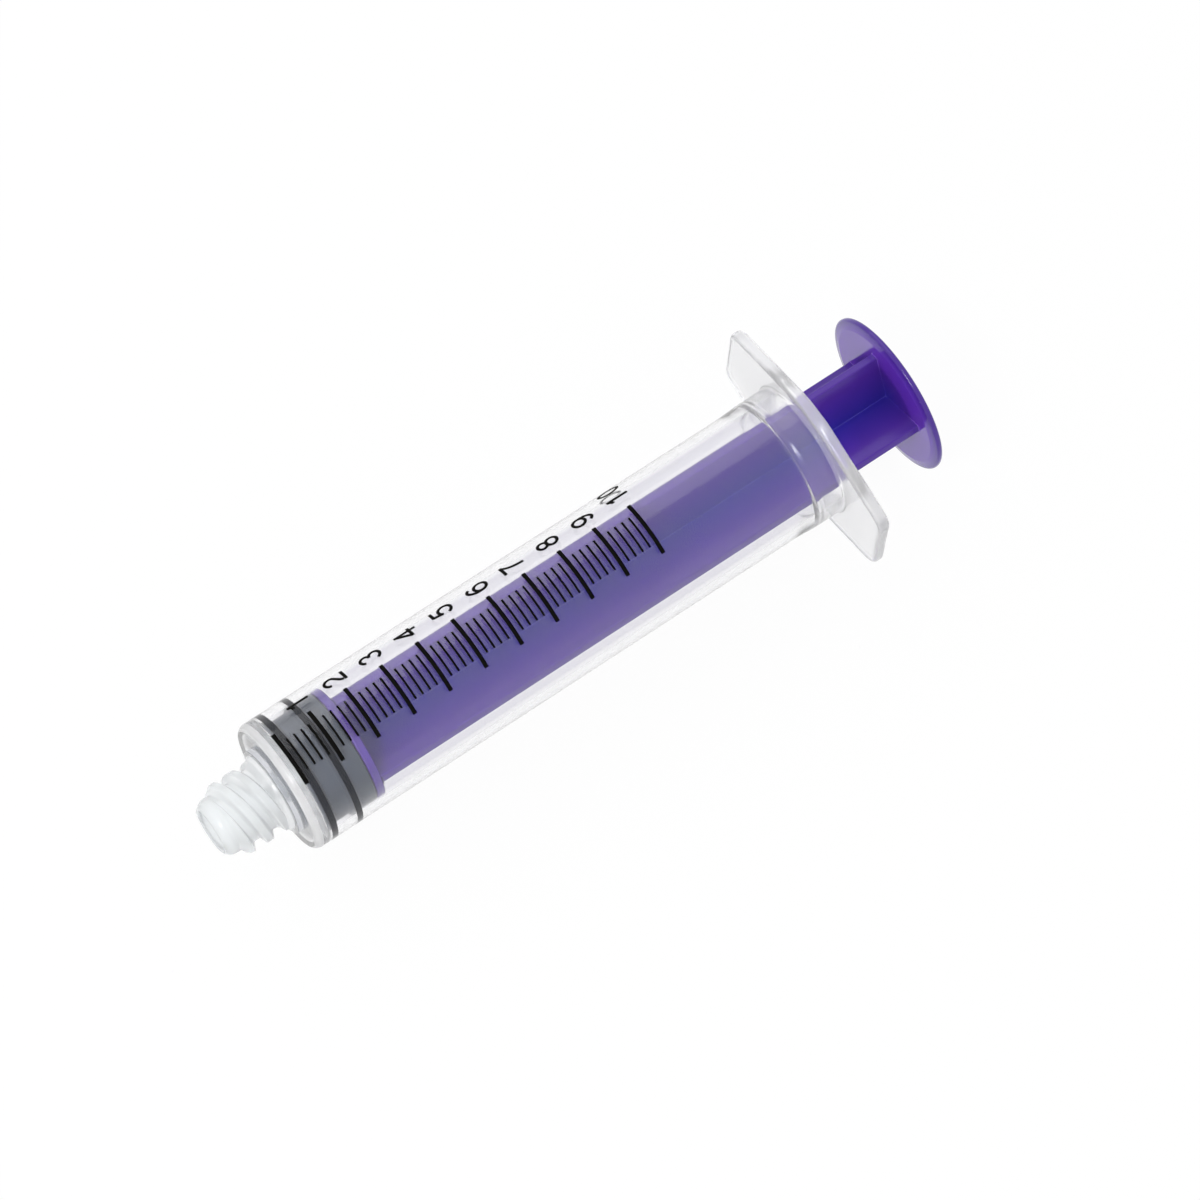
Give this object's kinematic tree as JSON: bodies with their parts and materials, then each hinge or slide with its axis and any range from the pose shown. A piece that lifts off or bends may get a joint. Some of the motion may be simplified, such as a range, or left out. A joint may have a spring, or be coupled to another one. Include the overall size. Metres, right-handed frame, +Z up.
{
  "type": "enteral syringe",
  "caption": "Small clear enteral feeding syringe with a violet cross-ribbed plunger, grey rubber seal, winged finger flange and threaded nozzle, lying on its side.",
  "frame": {"origin": "centre of the nozzle's mouth, on the syringe's axis", "axes": "+X along the axis from the nozzle to the thumb disc; Y along the finger flange's wings; +Z up, through the middle of the printed scale"},
  "size_m": [0.1023, 0.032, 0.022],
  "materials": {
    "clear_plastic": "clear moulded polypropylene, slightly milky where it is thick, polished outside",
    "violet_plastic": "deep violet moulded polypropylene, smooth, slightly translucent",
    "seal_rubber": "grey moulded rubber, matt, with a thin film of silicone oil",
    "scale_ink": "black printing ink"
  },
  "bodies": {
    "barrel": {"barrel": "clear_plastic"},
    "piston_seal": {"piston_seal": "seal_rubber"},
    "plunger_rod": {"plunger_rod": "violet_plastic"}
  },
  "joints": [
    {"name": "plunger_slide", "type": "slide", "parent": "barrel", "child": "piston_seal", "axis": [1, 0, 0], "range_m": [0, 0.064]},
    {"name": "plunger_turn", "type": "hinge", "parent": "piston_seal", "child": "plunger_rod", "pos_m": [0.017, 0, 0], "axis": [1, 0, 0], "continuous": true}
  ]
}
